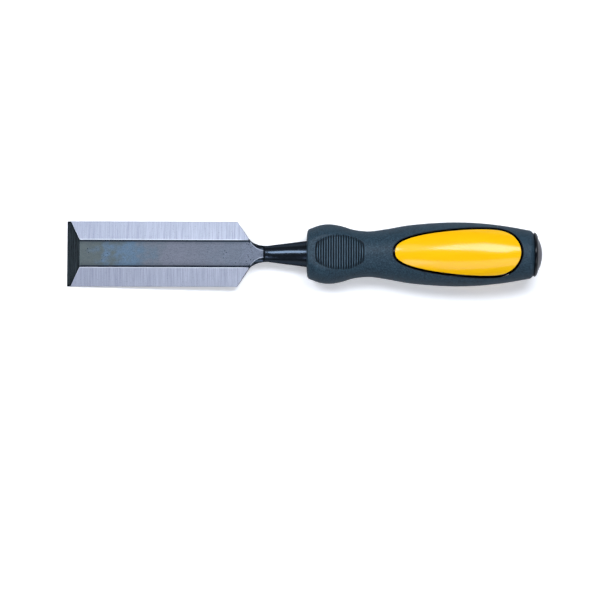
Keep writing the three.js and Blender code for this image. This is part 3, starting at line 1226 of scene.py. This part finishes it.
    def build(self) -> Piece:
        """Makes the grip from four quarters, with walls at the neck's hole, the rear end and the windows.

        Returns:
            The finished piece.
        """
        rows = self.rows()
        outside, painted_light = self.outside(rows)
        inside = self.inside(rows, outside)
        start = int(np.sum(rows.inner[:rows.window.start]))
        inner_window = slice(start, start + rows.window.stop - rows.window.start)
        surface = Surface()
        for face in Face:
            for mirror in (1, -1):
                turn = np.array((1.0, mirror, face.value))
                out, inn = (quarter * turn + (0.0, 0.0, AXIS_HEIGHT) for quarter in (outside, inside))
                surface.add(out, mark=painted_light)
                # The inside and the walls at the neck's hole and at the windows take painted shade.
                surface.add(inn, mark=1.0)
                surface.add(np.stack([out[0], inn[0]]), mark=1.0)
                surface.add(np.stack([out[-1], inn[-1]]))
                surface.add(np.stack([out[rows.window, 0], inn[inner_window, 0]]), mark=1.0)
        return surface.build("soft_grip_shell", [SoftRubber().build()])


@dataclass
class HandleCore:
    """The hard core: a rod in the middle of the handle, and a glossy raised panel on each face."""

    form: HandleForm
    rod: Stations = ((142.9, 9.6), (176.0, 9.6), (205.0, 12.4), (248.0, 12.4), (271.3, 10.2))
    stand: float = 0.12
    edge_round: float = 0.15
    edge_insets: tuple[float, ...] = (0.035, 0.02, 0.01, 0.003, 0.0)
    # Depths down the panel's wall between which the painted shade comes in.
    wall_shade_depths: Pair = (0.5, 0.8)
    depth: float = 4.0
    steps: int = 84
    side_steps: int = 22

    def panel(self, face: Face) -> tuple[Array, Array, list[Array]]:
        """One panel: a crowned top that follows the handle, a rounded edge, a wall, and a closed underside.

        The upper panel stands proud of the handle, and the lower one is flush.

        Args:
            face: which face of the handle.

        Returns:
            The grids of the top, the underside and the two walls, which together close the body.
        """
        outline = self.form.panel_outline(0.0, self.steps)
        share = np.linspace(0.0, 1.0, self.side_steps) ** 0.8
        share = np.concatenate([share[share < 0.95], 1.0 - np.array(self.edge_insets)])
        y = outline[:, 1:] * np.concatenate([-share[:0:-1], share])
        x = np.broadcast_to(outline[:, :1], y.shape)
        z = self.form.height(x, self.form.half_width(x), y) + self.stand * (face is Face.UPPER)
        fall = np.clip(1.0 - distance_to(outline, x, y) / self.edge_round, 0.0, 1.0)
        top = z - self.edge_round * (1.0 - np.sqrt(1.0 - fall**2))
        turn = np.array((1.0, 1.0, face.value))
        levels = (top, z - self.depth)
        upper, under = (np.stack([x, y, h], axis=-1) * turn + (0.0, 0.0, AXIS_HEIGHT) for h in levels)
        drop = np.array([0.0, *self.wall_shade_depths, self.depth])[:, None, None] * (0.0, 0.0, -face.value)
        walls = []
        for k in (0, -1):
            walls.append(upper[:, k] + drop)
            walls[-1][-1] = under[:, k]
        return upper, under, walls

    def build(self) -> Piece:
        """Makes the rod and both panels as one piece.

        Returns:
            The finished piece.
        """
        surface = Surface()
        for face in Face:
            top, under, walls = self.panel(face)
            surface.add(top)
            # The undersides, the lower walls and the rod take painted shade, so the gap round each panel reads
            # dark.
            surface.add(under, mark=1.0)
            for wall in walls:
                surface.add(wall, mark=np.array([[0.0], [0.0], [1.0], [1.0]]))
        ends = [(self.rod[0][0], 0.0), *self.rod, (self.rod[-1][0], 0.0)]
        surface.add(turned(np.array(ends), 48), mark=1.0)
        plastic = GlossPlastic("core_yellow_plastic", (0.94, 0.52, 0.004), (0.92, 0.47, 0.003), 0.13)
        return surface.build("handle_core_panels", [plastic.build()], sharp=50.0)


# ---- strike cap


@dataclass
class StrikeEnd:
    """The black collar behind the grip, and the domed steel cap that it holds.

    Profiles are (x, radius) pairs. The rim and the shoulder are Bezier curves, each by its three points.
    """

    front: Pair = (271.9, 4.3)
    rim: Stations = ((271.9, 12.4), (271.9, 12.95), (272.5, 12.95))
    shoulder: Stations = ((272.5, 12.95), (273.7, 12.6), (274.3, 10.1))
    mouth: Stations = ((274.32, 9.9), (274.2, 9.8), (273.3, 9.8), (273.3, 4.3))
    stem: Stations = ((250.0, 0.0), (250.0, 3.6), (250.4, 4.0), (273.6, 4.0))
    cap_rim: Stations = ((273.6, 9.4), (273.7, 9.5), (274.32, 9.5))
    dome_x: Pair = (274.4, 276.8)
    cap_radius: float = 9.5
    steps: int = 96

    def collar(self) -> Piece:
        """Lathes the collar: an upright rim, a convex shoulder down to the mouth, and a dished floor.

        Returns:
            The finished piece.
        """
        curves = [curve_rows(*self.rim, 6), curve_rows(*self.shoulder, 12)[1:]]
        surface = Surface()
        surface.add(turned(np.concatenate([[self.front], *curves, self.mouth, [self.front]]), self.steps))
        black = GlossPlastic("collar_black_plastic", (0.006, 0.008, 0.011), (0.003, 0.004, 0.006), 0.09, 0.4)
        return surface.build("strike_collar", [black.build()], sharp=50.0)

    def cap(self) -> Piece:
        """Lathes the cap: a stem, a flat underside, a short rim with a round corner, and a spherical dome.

        Returns:
            The finished piece.
        """
        apex = self.dome_x[1]
        rise = apex - self.dome_x[0]
        radius = (self.cap_radius**2 + rise**2) / (2 * rise)
        r = self.cap_radius * np.cos(np.linspace(0.12, QUARTER, 26))
        dome = np.stack([apex - radius + np.sqrt(radius**2 - r**2), r], axis=1)
        surface = Surface()
        surface.add(turned(np.concatenate([self.stem, self.cap_rim, dome]), self.steps))
        # The dome is bare steel like the bevels; its darker colours are a painted reflection of a dim
        # surround.
        steel = GroundSteel("cap_steel", (0.20, 0.196, 0.215), (0.13, 0.127, 0.145), 0.36, 0.3)
        return surface.build("strike_cap_dome", [steel.build()], sharp=50.0)


# ---- studio


@dataclass(frozen=True)
class SoftLight:
    """A rectangular lamp over the tool.

    Attributes:
        name: the lamp's name.
        centre: where its middle hangs, in the tool's frame.
        size: its length along the tool and its width, in metres.
        radiance: how bright its face is, where a white floor in full light is 1.
        colour: its colour.
    """

    name: str
    centre: Point
    size: Pair
    radiance: float
    colour: Colour = (0.86, 0.91, 1.0)

    def build(self, target: Vector) -> None:
        """Hangs the lamp so that it faces the target.

        Args:
            target: the point faced, in metres in the row frame.
        """
        lamp = bpy.data.lights.new(self.name, "AREA")
        lamp.shape = "RECTANGLE"
        lamp.size, lamp.size_y = self.size
        lamp.energy = math.pi * self.radiance * self.size[0] * self.size[1]
        lamp.color = self.colour
        holder = bpy.data.objects.new(self.name, lamp)
        holder.location = Vector(TOOL.place(np.array(self.centre)))
        holder.rotation_euler = (holder.location - target).to_track_quat("Z", "Y").to_euler()
        bpy.context.scene.collection.objects.link(holder)


@dataclass(frozen=True)
class Studio:
    """Pale floor, soft lamps and a long-lens camera nearly straight over the tool.

    Attributes:
        floor_size: side of the floor, in metres.
        floor_colour: the floor as the camera sees it, and floor_shade the same in its darker blotches.
        floor_bounce: the floor as the tool reflects it.
        glow: how strongly the floor glows near the tool and far away, past the two ends of glow_reach.
        sky: the surround's strength at the horizon and overhead.
        sky_band: the heights, as a direction's Z, between which it changes.
        distance: from the aim, the middle of the view, to the camera, in metres.
        roll: the camera's turn on its own axis, and elevation its height over the tool, in degrees.
        target: what the lamps face.
    """

    floor_size: float = 8.0
    floor_colour: Colour = (0.965, 0.965, 0.965)
    floor_shade: Colour = (0.9505, 0.9505, 0.9505)
    floor_bounce: Colour = (0.58, 0.58, 0.58)
    glow: Pair = (0.3, 0.72)
    glow_reach: Pair = (500.0, 1600.0)
    sky: Pair = (0.72, 0.021)
    sky_band: Pair = (0.06, 0.26)
    lens: float = 180.0
    distance: float = 1.7448
    roll: float = 0.16
    elevation: float = 85.0
    aim: Point = (135.9, -26.9, 3.7)
    target: Point = (140.0, 0.0, 0.0)
    lamps: tuple[SoftLight, ...] = (
        SoftLight("key_rear", (410.0, 310.0, 900.0), (0.40, 0.42), 12.0),
        SoftLight("key_middle", (20.0, 310.0, 900.0), (0.34, 0.42), 1.8),
        SoftLight("key_front", (-300.0, 280.0, 900.0), (0.28, 0.44), 13.0),
        SoftLight("fill_rear", (500.0, -700.0, 900.0), (0.8, 0.6), 2.4),
        SoftLight("fill_front", (0.0, -670.0, 900.0), (0.24, 0.5), 4.0, (0.76, 0.8, 1.0)),
    )

    def build(self) -> None:
        """Makes the floor, the surround, the lamps and the camera."""
        self._floor()
        self._surround()
        target = Vector(TOOL.place(np.array(self.target)))
        for lamp in self.lamps:
            lamp.build(target)
        self._camera()
        bpy.context.scene.view_settings.view_transform = "Standard"

    def _floor(self) -> None:
        """A square floor at the level that the tool rests on, pale to the eye and dimmer in reflections."""
        half = self.floor_size / 2
        corners = [(-half, -half, 0), (half, -half, 0), (half, half, 0), (-half, half, 0)]
        mesh = bpy.data.meshes.new("floor")
        mesh.from_pydata(corners, [], [(0, 1, 2, 3)])
        floor = bpy.data.objects.new("floor", mesh)
        bpy.context.scene.collection.objects.link(floor)
        graph = Graph("floor_pale")
        pale = graph.mix(graph.noise(30.0, 2.0, 0.5), self.floor_colour, self.floor_shade)
        seen = graph.node("ShaderNodeLightPath", {}).outputs["Is Camera Ray"]
        reach = graph.node("ShaderNodeVectorMath", {0: graph.place}, operation="LENGTH").outputs["Value"]
        glow = graph.math("MULTIPLY", graph.levels(reach, self.glow_reach, self.glow), seen)
        graph.shade(Base_Color=graph.mix(seen, self.floor_bounce, pale), Emission_Strength=glow)
        graph.shade(Roughness=0.9, Specular_IOR_Level=0.1, Emission_Color=(1.0, 1.0, 1.0))
        mesh.materials.append(graph.material)

    def _surround(self) -> None:
        """A plain surround: pale at the horizon, dim overhead, so that the lamps shape the piece."""
        world = bpy.data.worlds.new("surround")
        world.use_nodes = True
        tree = world.node_tree
        coordinates = tree.nodes.new("ShaderNodeTexCoord")
        split = tree.nodes.new("ShaderNodeSeparateXYZ")
        level = tree.nodes.new("ShaderNodeMapRange")
        level.interpolation_type = "SMOOTHSTEP"
        for name, value in zip(("From Min", "From Max", "To Min", "To Max"), (*self.sky_band, *self.sky)):
            level.inputs[name].default_value = value
        background = tree.nodes["Background"]
        background.inputs["Color"].default_value = (1.0, 1.0, 1.0, 1.0)
        tree.links.new(coordinates.outputs["Generated"], split.inputs["Vector"])
        tree.links.new(split.outputs["Z"], level.inputs["Value"])
        tree.links.new(level.outputs["Result"], background.inputs["Strength"])
        bpy.context.scene.world = world

    def _camera(self) -> None:
        """Stands the camera over the tool, square to its length, tipped back towards -Y."""
        lens = bpy.data.cameras.new("camera")
        lens.lens = self.lens
        lens.sensor_width = 36.0
        camera = bpy.data.objects.new("camera", lens)
        low = math.radians(90.0 - self.elevation)
        away = Vector(TOOL.turn(0.0, -math.sin(low), math.cos(low)))
        up = Vector(TOOL.turn(0.0, math.cos(low), math.sin(low)))
        turn = Matrix((up.cross(away), up, away)).transposed().to_4x4()
        camera.matrix_world = turn @ Matrix.Rotation(math.radians(self.roll), 4, "Z")
        camera.location = Vector(TOOL.place(np.array(self.aim))) + away * self.distance
        bpy.context.scene.collection.objects.link(camera)
        bpy.context.scene.camera = camera


# ---- assembly


def fit(piece: Piece, node: str) -> None:
    """Puts a piece in place of its CAD node.

    Args:
        piece: the finished piece.
        node: the CAD node that it stands for.
    """
    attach(piece, "root")
    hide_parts(node)
    LOG.info("%s: %d faces, stands for %s", piece.name, len(piece.data.polygons), node)


def main() -> None:
    """Builds the chisel piece by piece, then the studio."""
    logging.basicConfig(level=logging.INFO, format="%(name)s: %(message)s")
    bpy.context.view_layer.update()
    form = HandleForm()
    end = StrikeEnd()
    fit(BladeForging().build(), "blade")
    fit(HandleCore(form).build(), "handle_core")
    fit(SoftGrip(form).build(), "soft_grip")
    fit(end.collar(), "cap_collar")
    fit(end.cap(), "strike_cap")
    Studio().build()


if __name__ == "__main__":
    main()
